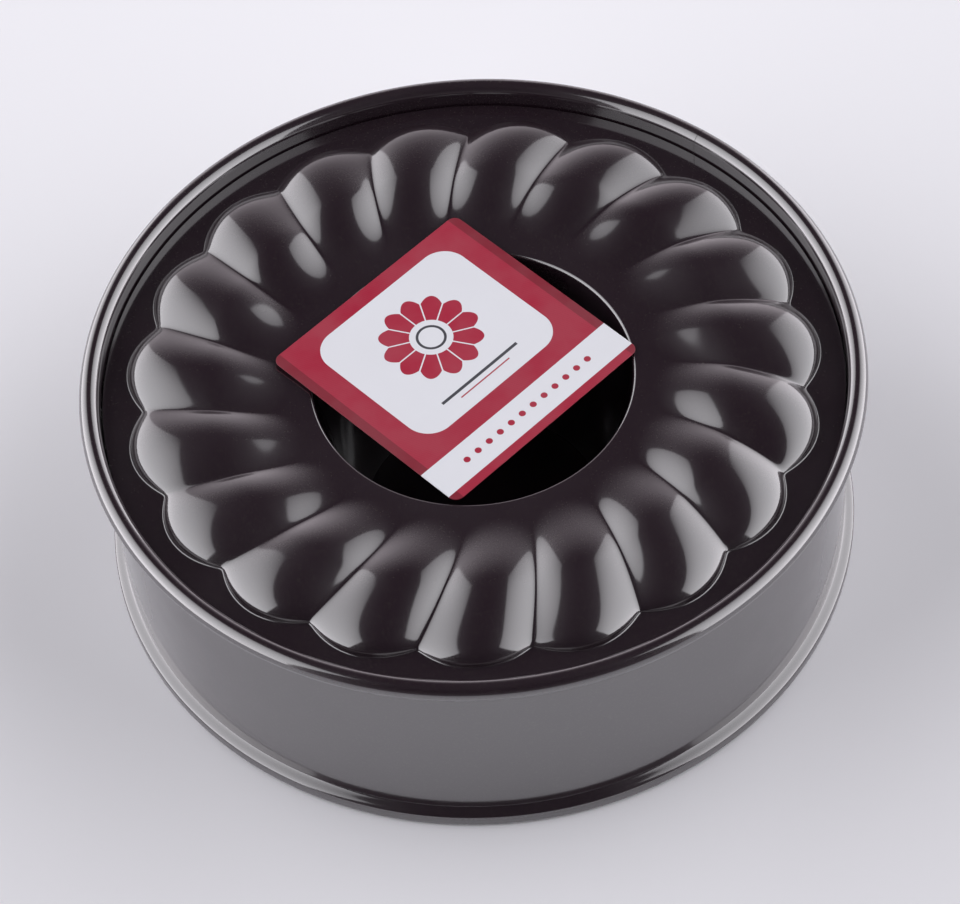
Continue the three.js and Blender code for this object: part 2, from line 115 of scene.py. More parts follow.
class BottomSizes(PropertyGroup):
    """Sizes of the flat bottom and of the fluted tube bottom."""

    edge_radius: length("Edge radius", "Outer radius of both bottoms", 119.4)
    flat_sheet: length("Flat sheet", "Thickness of the flat bottom", 0.8)
    panel_radius: length("Panel radius", "Radius of the flat bottom's lowered panel", 100)
    panel_ramp: length("Panel ramp", "Run of the slope round the panel", 12)
    rim_level: length("Rim level", "Underside of the flat bottom's rim", 0.95)
    tube_sheet: length("Tube sheet", "Thickness of the tube bottom", 0.8)
    flange_level: length("Flange level", "Upper face of the tube bottom's flange", 71.2)
    land_level: length("Land level", "Upper face of the land round the mouth", 73.5)
    crest_rise: length("Crest rise", "Height of a lobe's crest over the land", 5.3)
    valley_rise: length("Valley rise", "Height of a valley's top over the land", 2.2)
    lobe_count: IntProperty(name="Lobes", description="Number of lobes", default=19)
    lobe_outer: length("Lobe outer radius", "Where a lobe's crest meets the flange", 112)
    lobe_inner: length("Lobe inner radius", "Where a lobe's crest meets the land", 56)
    outer_notch: length("Outer notch", "Depth of the scallops round the outside", 5.5)
    inner_notch: length("Inner notch", "Depth of the scallops round the land", 5.4)
    dome_run: length("Dome run", "Run of a lobe's climb from the flange to its top", 26)
    fall_start: share("Fall start", "Where a crest starts to fall, as a share of its length", 0.46)
    swirl: turn("Swirl", "Turn of a lobe from its outer to its inner end", 7.4)
    first_valley: turn("First valley", "Angle of a valley at its outer end, from +X", 10.9)
    mouth_radius: length("Mouth radius", "Inner radius of the chimney at the land", 51.5)
    mouth_bend: length("Mouth bend", "Radius of the bend into the chimney", 1.2)
    chimney_end_radius: length("Chimney end radius", "Inner radius at the chimney's low end", 40)
    chimney_end_level: length("Chimney end level", "Height of the chimney's low end", 1.05)
    foot_fillet: length("Foot fillet", "Radius of the bend from the flange into the lobes", 0.7)
    valley_softness: share("Valley softness", "Rounding of the valleys between lobes", 0.09)


class CardSizes(PropertyGroup):
    """Sizes and place of the printed card."""

    side: length("Side", "Length of the card's side", 83.7)
    thickness: length("Thickness", "Thickness of the card", 0.5)
    corner: length("Corner", "Radius of the card's corners", 3)
    angle: turn("Turn", "Turn of the card about the upright axis", 41.8)
    lean: turn("Lean", "Slope of the card towards its low side", 0.6)
    centre_x: length("Centre X", "Place of the card's middle along X", -5)
    centre_y: length("Centre Y", "Place of the card's middle along Y", 8)
    sag: length("Sag", "How far the card's middle sags over the mouth", 0.5)


class PrintSizes(PropertyGroup):
    """Layout of the card's print; a level is a height over the card's middle, as the print is read."""

    soft_edge: length("Soft edge", "Width in which a printed edge fades", 0.12)
    hatch_rate: share("Hatch rate", "Hatch of the ground, in radians per millimetre", 7.5)
    hatch_slope: share("Hatch slope", "Slope of the hatch", 0.35)
    hatch_depth: share("Hatch depth", "How far the hatch goes from crimson to deep red", 0.22)
    stripe: length("Stripe", "Where the darker stripes at the sides begin", 38.6)
    panel_level: length("Panel level", "Level of the white panel's middle", 8.5)
    panel_half_width: length("Panel half width", "Half of the white panel's width", 31)
    panel_half_height: length("Panel half height", "Half of the white panel's height", 27.5)
    panel_corner: length("Panel corner", "Radius of the white panel's corners", 9)
    band_level: length("Band level", "Level of the white band's middle", -32.5)
    band_half_height: length("Band half height", "Half of the white band's height", 6.2)
    dot_pitch: length("Dot pitch", "Distance between the dots on the band", 5)
    dot_radius: length("Dot radius", "Radius of a dot", 1.15)
    dot_reach: length("Dot reach", "Where the row of dots ends", 30)
    flower_level: length("Flower level", "Level of the flower's middle", 11)
    petal_count: IntProperty(name="Petals", description="Number of petals", default=12)
    petal_inner: length("Petal inner radius", "Where the petals begin", 7.2)
    petal_valley: length("Petal valley radius", "Radius of the flower between two petals", 14)
    petal_bulge: length("Petal bulge", "How far a petal stands out from the valleys", 3.2)
    vein_half_width: length("Vein half width", "Half of the width of the white veins", 0.22)
    vein_scale: share("Vein scale", "Distance from a vein, as a share of sine times radius", 0.16)
    core_radius: length("Core radius", "Radius of the ring in the flower", 4.6)
    core_half_width: length("Core half width", "Half of the ring's width", 0.45)
    rule_level: length("Rule level", "Level of the rule under the flower", -11)
    rule_half_width: length("Rule half width", "Half of the rule's width", 0.55)
    rule_reach: length("Rule reach", "Half of the rule's length", 17)
    fine_level: length("Fine rule level", "Level of the finer rule", -13.6)
    fine_half_width: length("Fine rule half width", "Half of the finer rule's width", 0.25)
    fine_reach: length("Fine rule reach", "Half of the finer rule's length", 11)


class LatchSizes(PropertyGroup):
    """Sizes of the latch's wire bail and rivets; the plates keep their CAD shapes."""

    level: length("Latch level", "Height of the latch's middle", 40)
    pivot_along: length("Pivot along", "Lever's pivot along the wall from the split", 14)
    pivot_out: length("Pivot out", "Lever's pivot out from the wall", 6.5)
    link_along: length("Bail along", "Bail's pivot along the wall from the split", 22)
    link_out: length("Bail out", "Bail's pivot out from the wall", 7.8)
    bar_along: length("Bar along", "Bail's bar along the wall from the split", -18)
    bar_out: length("Bar out", "Bail's bar out from the wall", 4.5)
    wire_radius: length("Wire radius", "Radius of the bail's wire", 1.1)
    wire_bend: length("Wire bend", "Reach of the bail's bends", 2.6)
    bail_half_width: length("Bail half width", "Half of the distance between the bail's legs", 6.5)
    bail_end: length("Bail end", "Where the bail's ends stop, from the latch's middle", 10.1)
    rivet_shank: length("Rivet shank", "Radius of a rivet's shank", 1.5)
    rivet_head: length("Rivet head", "Radius of a rivet's head", 2.7)
    rivet_dome: length("Rivet dome", "Height of a rivet's head", 1.2)
    edge: length("Edge", "Width of the broken edges of the plates", 0.16)


class PanColours(PropertyGroup):
    """Colours of the finishes and of the floor."""

    coat: tint("Coat", "Brown-black non-stick coat", (0.0142, 0.0066, 0.0108))
    coat_fleck: tint("Coat fleck", "Paler flecks in the coat", (0.026, 0.019, 0.019))
    plated: tint("Plated", "Plated steel of the latch", (0.62, 0.63, 0.65))
    plated_dull: tint("Plated dull", "Duller streaks in the plating", (0.45, 0.46, 0.48))
    crimson: tint("Crimson", "Ground colour of the card", (0.35, 0.016, 0.042))
    deep_red: tint("Deep red", "Edge stripes and hatch of the card", (0.20, 0.008, 0.022))
    white: tint("Paper white", "White of the card", (0.70, 0.71, 0.74))
    ink: tint("Ink", "Grey lines on the card", (0.05, 0.05, 0.06))
    worn: tint("Worn", "Grey that worn print turns to", (0.5, 0.5, 0.5))
    floor: tint("Floor", "Pale studio floor", (0.80, 0.80, 0.82))
    floor_dull: tint("Floor dull", "Duller mottling of the floor", (0.70, 0.70, 0.72))


class StageSettings(PropertyGroup):
    """The camera, the floor, the cloth walls and the sky."""

    elevation: turn("Elevation", "Camera's height over the horizon", 51.19)
    distance: length("Distance", "Camera to the middle of the rim", 1200)
    roll: turn("Roll", "How far the picture is turned", 4.61)
    lens: FloatProperty(name="Lens", description="Focal length", default=140.4, unit="CAMERA")
    sensor: FloatProperty(name="Sensor", description="Width of the sensor", default=36, unit="CAMERA")
    shift_x: FloatProperty(name="Shift X", description="Sideways lens shift", default=0.0082)
    shift_y: FloatProperty(name="Shift Y", description="Upright lens shift", default=-0.0852)
    floor_reach: length("Floor reach", "Radius of the floor", 9000)
    cloth_distance: length("Cloth distance", "Distance of each cloth wall from the pan's axis", 800)
    cloth_back: length("Cloth back", "How far behind the pan the cloths have their middles", 500)
    cloth_width: length("Cloth width", "Width of a cloth wall", 2500)
    cloth_height: length("Cloth height", "Height of a cloth wall, which stands on the floor", 2100)
    cloth_left: power("Left cloth", "Power of the left cloth's light", 33)
    cloth_right: power("Right cloth", "Power of the right cloth's light", 32)
    cloth_spread: turn("Cloth spread", "Angle of a cloth's light; a narrow one dims it from aside", 150)
    cloth_tint: tint("Cloth tint", "Colour of the cloths' light", (0.97, 0.96, 1.0))
    sky_far: tint("Far sky", "Colour at the far and side horizon", (1.0, 0.906667, 0.973333))
    sky_dark: tint("Dark sky", "Colour overhead and towards the viewer", (0.012, 0.011333, 0.013333))
    sky_strength: share("Sky strength", "Brightness of the sky's colours", 1.5)
    glow_top: share("Glow top", "Where the pale horizon ends, as a share of straight up", 0.75)


# Meshes


def grid_faces(rows, columns, wrap_rows, wrap_columns):
    """Quads of a grid of points, one for each cell; a wrapped direction closes on itself."""
    index = np.arange(rows * columns).reshape(rows, columns)
    if wrap_rows:
        index = np.vstack([index, index[:1]])
    if wrap_columns:
        index = np.hstack([index, index[:, :1]])
    corners = (index[:-1, :-1], index[:-1, 1:], index[1:, 1:], index[1:, :-1])
    return np.stack(corners, axis=-1).reshape(-1, 4)


def mesh_piece(name, vertices, faces, uv=None):
    """An object at the origin from arrays of vertices and faces; doubles are merged, so poles and seams
    close. Faces are smooth, with sharp edges where they meet at more than SMOOTH_ANGLE."""
    mesh = bpy.data.meshes.new(name)
    mesh.from_pydata(vertices.reshape(-1, 3).tolist(), [], faces.tolist())
    if uv is not None:
        layer = mesh.uv_layers.new(name="card")
        corner_vertex = np.empty(len(mesh.loops), dtype=np.int64)
        mesh.loops.foreach_get("vertex_index", corner_vertex)
        layer.data.foreach_set("uv", uv.reshape(-1, 2)[corner_vertex].ravel())
    finish_mesh(mesh)
    piece = bpy.data.objects.new(name, mesh)
    bpy.context.scene.collection.objects.link(piece)
    return piece


def finish_mesh(mesh):
    """Merge doubles, which drops collapsed faces, turn the faces outwards and shade smooth by angle."""
    work = bmesh.new()
    work.from_mesh(mesh)
    bmesh.ops.remove_doubles(work, verts=work.verts, dist=GRID_MERGE)
    bmesh.ops.recalc_face_normals(work, faces=work.faces)
    work.to_mesh(mesh)
    work.free()
    shade_by_angle(mesh)


def shade_by_angle(mesh):
    """Shade smooth, with sharp edges where faces meet at more than SMOOTH_ANGLE."""
    mesh.polygons.foreach_set("use_smooth", np.ones(len(mesh.polygons), dtype=bool))
    mesh.set_sharp_from_angle(angle=SMOOTH_ANGLE)
    mesh.update()


def full_turn(steps):
    """Angles of equal steps once round, without the last one, which is the first again."""
    return np.linspace(0, 2 * math.pi, steps + 1)[:-1]


def turned_points(profile, angles):
    """Profile of (radius, height) points carried round the Z axis: point (i, j) is profile i at angle j."""
    radius, height = profile[:, :1], profile[:, 1:]
    flat = np.ones_like(angles)
    return np.stack([radius * np.cos(angles), radius * np.sin(angles), height * flat], axis=-1)


def arc(centre, radius, start, end, steps):
    """Points on a circle's arc between two angles in degrees."""
    angle = np.radians(np.linspace(start, end, steps))
    return np.stack([centre[0] + radius * np.cos(angle), centre[1] + radius * np.sin(angle)], axis=1)


def s_curve(way):
    """Rise from 0 to 1 that starts and ends level: three times the square less twice the cube of the way."""
    return 3 * way**2 - 2 * way**3


def sheet_sides(path, thickness):
    """The two faces of a bent sheet: the middle line moved by half the thickness along its normals."""
    along = np.gradient(path, axis=0)
    along /= np.linalg.norm(along, axis=1, keepdims=True)
    normal = np.stack([-along[:, 1], along[:, 0]], axis=1) * thickness / 2
    return path + normal, path - normal


def surface_normals(points):
    """Unit normals of a grid whose columns close on themselves, from the two directions' differences."""
    down = np.gradient(points, axis=0)
    round_about = np.roll(points, -1, axis=1) - np.roll(points, 1, axis=1)
    normal = np.cross(round_about, down)
    normal /= np.linalg.norm(normal, axis=2, keepdims=True)
    return normal


def dress(piece, body, slot, material, *nodes):
    """Give a piece its material and body, and hide the CAD nodes that it stands for. The slot is not used.
    """
    piece.data.materials.clear()
    piece.data.materials.append(material)
    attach(piece, body)
    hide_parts(*nodes)


# Materials


class Field:
    """A value in a node tree; arithmetic on it adds Math nodes."""

    def __init__(self, tree, socket):
        self.tree = tree
        self.socket = socket

    def math(self, operation, *others):
        """The result of a Math node on this value and the others, which are Fields or numbers."""
        node = self.tree.nodes.new("ShaderNodeMath")
        node.operation = operation
        for socket, value in zip(node.inputs, (self, *others)):
            feed(self.tree, socket, value)
        return Field(self.tree, node.outputs[0])

    def __add__(self, other):
        return self.math("ADD", other)

    def __sub__(self, other):
        return self.math("SUBTRACT", other)

    def __mul__(self, other):
        return self.math("MULTIPLY", other)

    def __truediv__(self, other):
        return self.math("DIVIDE", other)

    def __abs__(self):
        return self.math("ABSOLUTE")


def feed(tree, socket, value):
    """Give an input socket a Field, another node's output or a plain value."""
    if isinstance(value, Field):
        value = value.socket
    if isinstance(value, bpy.types.NodeSocket):
        tree.links.new(value, socket)
    else:
        socket.default_value = value


def add_node(tree, kind, inputs=None, **settings):
    """A node with its settings; inputs are sockets, Fields or plain values by socket name."""
    node = tree.nodes.new(kind)
    for key, value in settings.items():
        setattr(node, key, value)
    for key, value in (inputs or {}).items():
        feed(tree, node.inputs[key], value)
    return node


def blend_colour(tree, factor, first, second):
    """Colour that runs from the first to the second as the factor goes from 0 to 1."""
    node = add_node(tree, "ShaderNodeMix", data_type="RGBA")
    colour_inputs = [socket for socket in node.inputs if socket.type == "RGBA"]
    for socket, value in zip((node.inputs[0], *colour_inputs), (factor, first, second)):
        feed(tree, socket, value)
    return next(socket for socket in node.outputs if socket.type == "RGBA")


def rgba(colour):
    """A colour with full alpha, as sockets take it."""
    return (*colour, 1.0)


def new_material(name):
    """An empty node material with its tree, Principled shader and object coordinates."""
    material = bpy.data.materials.new(name)
    material.use_nodes = True
    tree = material.node_tree
    shader = tree.nodes["Principled BSDF"]
    place = tree.nodes.new("ShaderNodeTexCoord").outputs["Object"]
    return material, tree, shader, place


def noise(tree, place, scale, detail, roughness=0.5):
    """Noise over the given coordinates, about 0 to 1; scale is in waves per metre."""
    inputs = {"Vector": place, "Scale": scale, "Detail": detail, "Roughness": roughness}
    return Field(tree, add_node(tree, "ShaderNodeTexNoise", inputs).outputs["Fac"])


def ranged(tree, value, span, result):
    """Value mapped from the span's two ends to the result's two ends, clamped."""
    inputs = {"Value": value, "From Min": span[0], "From Max": span[1],
              "To Min": result[0], "To Max": result[1]}
    return Field(tree, add_node(tree, "ShaderNodeMapRange", inputs, clamp=True).outputs["Result"])


def add_bump(tree, shader, height, strength):
    """Bump of a height in metres on the shader's normal."""
    bump = add_node(tree, "ShaderNodeBump", {"Height": height, "Strength": strength, "Distance": 1.0})
    tree.links.new(bump.outputs["Normal"], shader.inputs["Normal"])


def coat_material(colours):
    """Glossy brown-black non-stick coat: flecks in the colour, a fine orange peel and a slow waviness of
    the sheet in the bump, and a roughness that drifts a little."""
    material, tree, shader, place = new_material("nonstick_coat")
    fleck = ranged(tree, noise(tree, place, scale=1400, detail=1), span=(0.55, 0.75), result=(0, 0.8))
    colour = blend_colour(tree, fleck, rgba(colours.coat), rgba(colours.coat_fleck))
    tree.links.new(colour, shader.inputs["Base Color"])
    drift = ranged(tree, noise(tree, place, scale=26, detail=3), span=(0.3, 0.7), result=(0.28, 0.38))
    tree.links.new(drift.socket, shader.inputs["Roughness"])
    peel = noise(tree, place, scale=620, detail=2) * (0.012 * MM)
    wave = noise(tree, place, scale=21, detail=1) * (0.22 * MM)
    add_bump(tree, shader, peel + wave, strength=0.6)
    shader.inputs["IOR"].default_value = 1.45
    shader.inputs["Coat Weight"].default_value = 1.0
    shader.inputs["Coat IOR"].default_value = 2.2
    shader.inputs["Coat Roughness"].default_value = 0.085
    return material


def coat_of(scene):
    """The coat's material, made once."""
    return bpy.data.materials.get("nonstick_coat") or coat_material(scene.pan_colours)


def plated_material(colours):
    """Bright plated steel with drawn streaks along the wall and a fine grain."""
    material, tree, shader, place = new_material("plated_steel")
    stretched = add_node(tree, "ShaderNodeMapping", {"Vector": place, "Scale": (1, 1, 9)})
    streak = noise(tree, stretched.outputs["Vector"], scale=320, detail=4, roughness=0.6)
    dull = ranged(tree, streak, span=(0.4, 0.7), result=(0, 1))
    colour = blend_colour(tree, dull, rgba(colours.plated), rgba(colours.plated_dull))
    tree.links.new(colour, shader.inputs["Base Color"])
    rough = ranged(tree, streak, span=(0.3, 0.7), result=(0.2, 0.34))
    tree.links.new(rough.socket, shader.inputs["Roughness"])
    grain = noise(tree, place, scale=2600, detail=2) * (0.006 * MM)
    add_bump(tree, shader, grain + streak * (0.01 * MM), strength=0.5)
    shader.inputs["Metallic"].default_value = 1.0
    return material


def plated_of(scene):
    """The plating's material, made once."""
    return bpy.data.materials.get("plated_steel") or plated_material(scene.pan_colours)


def edge_mask(distance, softness):
    """1 where a signed distance is below zero, with an edge that fades over the softness."""
    return (distance * (-1 / softness) + 0.5).math("MAXIMUM", 0.0).math("MINIMUM", 1.0)


def box_distance(x, y, half_x, half_y, corner):
    """Signed distance to a box with round corners about the origin."""
    out_x = abs(x) - (half_x - corner)
    out_y = abs(y) - (half_y - corner)
    wide = out_x.math("MAXIMUM", 0.0)
    tall = out_y.math("MAXIMUM", 0.0)
    inside = out_x.math("MAXIMUM", out_y).math("MINIMUM", 0.0)
    return (wide * wide + tall * tall).math("SQRT") + inside - corner


def flower_masks(layout, x, y, mask):
    """Masks of the flower's petals and of the ring in it. The petals' outline swells with the size of a
    sine round the flower. That sine times the radius grows with the distance from the petals' borders,
    where white veins of an even width are left."""
    y = y - layout.flower_level
    radius = (x * x + y * y).math("SQRT")
    flute = abs((y.math("ARCTAN2", x) * (layout.petal_count / 2)).math("SINE"))
    outline = mask(radius - (flute * layout.petal_bulge + layout.petal_valley))
    beside_veins = mask((flute * radius * layout.vein_scale) * -1.0 + layout.vein_half_width)
    petals = outline * mask(radius * -1.0 + layout.petal_inner) * beside_veins
    return petals, mask(abs(radius - layout.core_radius) - layout.core_half_width)


def card_material(colours, layout, side):
    """Printed satin card: crimson ground with a fine hatch, a white panel with a flower and two rules, and a
    white band with a row of dots. Places are in metres from the card's middle, read from its own map."""
    material, tree, shader, place = new_material("printed_card")
    chart = tree.nodes.new("ShaderNodeUVMap")
    chart.uv_map = "card"
    split = add_node(tree, "ShaderNodeSeparateXYZ", {"Vector": chart.outputs["UV"]})
    x = (Field(tree, split.outputs["X"]) - 0.5) * side
    y = (Field(tree, split.outputs["Y"]) - 0.5) * side

    def mask(distance):
        """Inside of a signed distance, with the print's soft edge."""
        return edge_mask(distance, layout.soft_edge)

    def bar(level, half_width, reach):
        """A level bar across the middle."""
        return mask(abs(y - level) - half_width) * mask(abs(x) - reach)

    stripe = mask(abs(x) * -1.0 + layout.stripe)
    panel = mask(box_distance(x, y - layout.panel_level, layout.panel_half_width, layout.panel_half_height,
                              layout.panel_corner))
    band = mask(abs(y - layout.band_level) - layout.band_half_height)
    petals, core = flower_masks(layout, x, y, mask)
    rule = bar(layout.rule_level, layout.rule_half_width, layout.rule_reach)
    fine_rule = bar(layout.fine_level, layout.fine_half_width, layout.fine_reach)
    dot_x = (x / layout.dot_pitch).math("FRACT") * layout.dot_pitch - layout.dot_pitch / 2
    dot_y = y - layout.band_level
    dots = mask((dot_x * dot_x + dot_y * dot_y).math("SQRT") - layout.dot_radius)
    dots = dots * mask(abs(x) - layout.dot_reach)

    hatch = ((x + y * layout.hatch_slope) * (layout.hatch_rate / MM)).math("SINE") * 0.5 + 0.5
    colour = blend_colour(tree, hatch * layout.hatch_depth, rgba(colours.crimson), rgba(colours.deep_red))
    for area, ink in ((stripe, colours.deep_red), (panel, colours.white), (band, colours.white),
                      (petals, colours.crimson), (core, colours.ink), (rule, colours.ink),
                      (fine_rule, colours.crimson), (dots, colours.crimson)):
        colour = blend_colour(tree, area, colour, rgba(ink))
    fresh = ranged(tree, noise(tree, place, scale=60, detail=3), span=(0.35, 0.75), result=(0.94, 1))
    tree.links.new(blend_colour(tree, fresh, rgba(colours.worn), colour), shader.inputs["Base Color"])

    fibre = noise(tree, place, scale=900, detail=4, roughness=0.6)
    rough = ranged(tree, fibre, span=(0.3, 0.7), result=(0.36, 0.48))
    tree.links.new(rough.socket, shader.inputs["Roughness"])
    add_bump(tree, shader, fibre * (0.02 * MM), strength=0.5)
    shader.inputs["Specular IOR Level"].default_value = 0.2
    return material


def floor_material(colours):
    """Matt pale paper with a faint mottling."""
    material, tree, shader, place = new_material("studio_paper")
    mottle = ranged(tree, noise(tree, place, scale=2.5, detail=3), span=(0.3, 0.7), result=(0.97, 1))
    shade = blend_colour(tree, mottle, rgba(colours.floor_dull), rgba(colours.floor))
    tree.links.new(shade, shader.inputs["Base Color"])
    shader.inputs["Roughness"].default_value = 0.9
    shader.inputs["Specular IOR Level"].default_value = 0.1
    return material


# Pieces


def ring_path(sizes):
    """Middle line of the band's section: lip, foot bend, foot, shoulder, wall and rim curl."""
    lip_steps, bend_steps, slope_steps, wall_steps, curl_steps = 6, 10, 16, 14, 40
    half = sizes.sheet / 2
    wall = sizes.inner_radius + half
    foot = wall + sizes.foot_bulge
    curl = sizes.curl_radius - half
    curl_centre = (wall + curl, sizes.height - sizes.curl_radius)
    bend_centre = (foot - sizes.foot_bend, half + sizes.foot_bend)
    shoulder_top = sizes.foot_height + sizes.foot_shoulder
    lip = np.linspace((sizes.inner_radius - sizes.lip_width, half), (bend_centre[0], half), lip_steps)
    bend = arc(bend_centre, sizes.foot_bend, -90, 0, bend_steps)
    share_up = np.linspace(0, 1, slope_steps)
    slope = np.stack([foot + (wall - foot) * s_curve(share_up),
                      sizes.foot_height + sizes.foot_shoulder * share_up], axis=1)
    side = np.linspace((wall, shoulder_top), (wall, curl_centre[1]), wall_steps)
    rim = arc(curl_centre, curl, 180, 180 - math.degrees(sizes.curl_sweep), curl_steps)
    return np.vstack([lip[:-1], bend, slope, side[1:-1], rim])


def ring_band(sizes):
    """The band: its sheet section carried round the Z axis from one side of the split to the other,
    with the two ends closed."""
    left, right = sheet_sides(ring_path(sizes), sizes.sheet)
    section = np.vstack([left, right[::-1]])
    gap = sizes.split_gap / 2 / sizes.inner_radius
    angles = np.linspace(sizes.split_angle + gap, sizes.split_angle + 2 * math.pi - gap, sizes.segments)
    points = turned_points(section, angles)
    rows, columns = points.shape[:2]
    index = np.arange(rows * columns).reshape(rows, columns)
    count = len(left)
    ends = []
    for column in (0, columns - 1):
        near, far = index[:count, column], index[count:, column][::-1]
        ends.append(np.stack([near[:-1], near[1:], far[1:], far[:-1]], axis=1))
    faces = np.vstack([grid_faces(rows, columns, True, False), *ends])
    return mesh_piece("coated_ring", points, faces)


def flat_bottom(sizes):
    """The flat bottom: a dished profile, from the axis out over the top and back under, turned about Z."""
    panel_steps, ramp_steps, rim_steps, turn_steps = 12, 14, 4, 288
    half = sizes.flat_sheet / 2
    level = sizes.rim_level + half
    share_out = np.linspace(0, 1, ramp_steps)
    panel = np.linspace((0, half), (sizes.panel_radius, half), panel_steps)
    ramp = np.stack([sizes.panel_radius + sizes.panel_ramp * share_out,
                     half + sizes.rim_level * s_curve(share_out)], axis=1)
    rim = np.linspace((ramp[-1, 0], level), (sizes.edge_radius, level), rim_steps)
    top, under = sheet_sides(np.vstack([panel[:-1], ramp, rim[1:]]), sizes.flat_sheet)
    top[0, 0] = under[0, 0] = 0
    points = turned_points(np.vstack([top, under[::-1]]), full_turn(turn_steps))
    return mesh_piece("flat_bottom_plate", points, grid_faces(*points.shape[:2], False, True))


def crown(sizes, across):
    """Upper face of the lobes as rows from the flange to the land; across runs from valley (-1) over the
    crest (0) to valley (1). The fullness 1 - across^2, softened at the valley, sets the scallops of both
    ends. The foot is a quarter circle, from which a lobe rises as a quarter of an ellipse over the dome's
    run, a valley less high than a crest, and then falls to the land in an S. The swirl turns with the way
    gone. Gives the radius, height and turn of each point."""
    foot_rows, climb_rows, land_rows = 8, 34, 26
    soft = sizes.valley_softness
    plain = 1 - across**2
    full = (np.sqrt(plain**2 + soft**2) - soft) / (math.sqrt(1 + soft**2) - soft)
    outer = sizes.lobe_outer - sizes.outer_notch * (1 - full)
    inner = sizes.lobe_inner + sizes.inner_notch * (1 - full)
    rise = sizes.valley_rise + (sizes.crest_rise - sizes.valley_rise) * full
    climb = sizes.land_level - sizes.flange_level

    start = np.arcsin(sizes.foot_fillet / (climb + rise))
    lift = start + (math.pi / 2 - start) * np.linspace(0, 1, climb_rows)[:, None]
    left = (outer - inner - sizes.dome_run) * np.linspace(0, 1, land_rows)[1:, None]
    run = np.vstack([sizes.dome_run * (1 - np.cos(lift)), sizes.dome_run + left])
    dome = np.vstack([np.sin(lift), np.ones_like(left)])
    along = run / (outer - inner)
    fall = np.clip((along - sizes.fall_start) / (1 - sizes.fall_start), 0, None)
    height = sizes.flange_level + climb * dome + rise * (dome - s_curve(fall))

    swing = np.radians(np.linspace(0, 90, foot_rows))[:-1, None]
    foot_radius = outer - run[0] + sizes.foot_fillet * (1 - np.sin(swing))
    foot_height = sizes.flange_level + sizes.foot_fillet * (1 - np.cos(swing)) * np.ones_like(across)
    turned = np.vstack([np.repeat(along[:1], len(swing), axis=0), along]) * sizes.swirl
    return np.vstack([foot_radius, outer - run]), np.vstack([foot_height, height]), turned


def tube_bottom(sizes):
    """The fluted tube bottom: rows from the flange's edge over the lobes and the land down the chimney,
    columns round the axis, closer together in the valleys. The flange's rows run from its round edge to
    the lobes' scallops; the under face is the upper one moved by the sheet along its normals."""
    lobe_steps, bend_steps, chimney_steps = 24, 9, 14
    flange_shares = np.array([0, 0.3, 0.6, 0.85])[:, None]
    columns = np.arange(sizes.lobe_count * lobe_steps)
    across = np.sin(math.pi * ((columns % lobe_steps) / lobe_steps - 0.5))
    lobes = crown(sizes, across)
    flange_radius = sizes.edge_radius + (lobes[0][:1] - sizes.edge_radius) * flange_shares
    bend_centre = (sizes.mouth_radius + sizes.mouth_bend, sizes.land_level - sizes.mouth_bend)
    bend = arc(bend_centre, sizes.mouth_bend, 90, 180, bend_steps)
    low = (sizes.chimney_end_radius, sizes.chimney_end_level)
    chimney = np.vstack([bend, np.linspace(bend[-1], low, chimney_steps)[1:]])
    flat = np.ones(len(columns))
    radius = np.vstack([flange_radius, lobes[0], chimney[:, :1] * flat])
    height = np.vstack([sizes.flange_level * np.ones_like(flange_radius), lobes[1], chimney[:, 1:] * flat])
    turned = np.vstack([0 * flange_radius, lobes[2], sizes.swirl * np.ones((len(chimney), len(columns)))])
    lobe_turn = 2 * math.pi / sizes.lobe_count * (columns // lobe_steps + across / 2 + 0.5)
    angle = sizes.first_valley + lobe_turn + turned
    top = np.stack([radius * np.cos(angle), radius * np.sin(angle), height], axis=-1)
    under = top - sizes.tube_sheet * surface_normals(top)
    points = np.vstack([top, under[::-1]])
    return mesh_piece("fluted_tube_bottom", points, grid_faces(*points.shape[:2], True, True))


def round_square(half, corner, corner_steps, side_steps):
    """Outline of a square with round corners, as (x, y) points."""
    centres = [(1, 1, 0), (-1, 1, 90), (-1, -1, 180), (1, -1, 270)]
    reach = np.linspace(0, 2 * (half - corner), side_steps + 2)[1:-1, None]
    parts = []
    for side_x, side_y, start in centres:
        middle = (side_x * (half - corner), side_y * (half - corner))
        bend = arc(middle, corner, start, start + 90, corner_steps)
        turned = math.radians(start + 90)
        parts += [bend, bend[-1] + reach * np.array([-math.sin(turned), math.cos(turned)])]
    return np.vstack(parts)


def printed_card(sizes, base_level):
    """The card: its outline shrunk step by step to the middle on the upper face and out again below, with
    a sag of the middle, then leaned, turned and set down."""
    corner_steps, side_steps, rows = 8, 24, 24
    edge_inset, edge_shares = 0.1 * MM, [0.78, 0.22]
    half = sizes.side / 2
    outline = round_square(half, sizes.corner, corner_steps, side_steps)
    inset = np.linspace(0, 1 - edge_inset / half, rows)
    scales = np.concatenate([inset, [1, 1], inset[::-1]])
    levels = np.concatenate([np.ones(rows), edge_shares, np.zeros(rows)]) * sizes.thickness
    flat = scales[:, None, None] * outline[None]
    dip = (1 - (flat[..., 0] / half) ** 2) * (1 - (flat[..., 1] / half) ** 2)
    height = levels[:, None] - sizes.sag * dip
    points = np.concatenate([flat, height[..., None]], axis=-1)
    lean = np.array(Matrix.Rotation(sizes.lean, 3, "X"))
    spin = np.array(Matrix.Rotation(sizes.angle, 3, "Z"))
    placed = points @ lean.T @ spin.T + np.array([sizes.centre_x, sizes.centre_y, base_level])
    uv = flat / sizes.side + 0.5
    return mesh_piece("printed_card", placed, grid_faces(*points.shape[:2], False, True), uv)


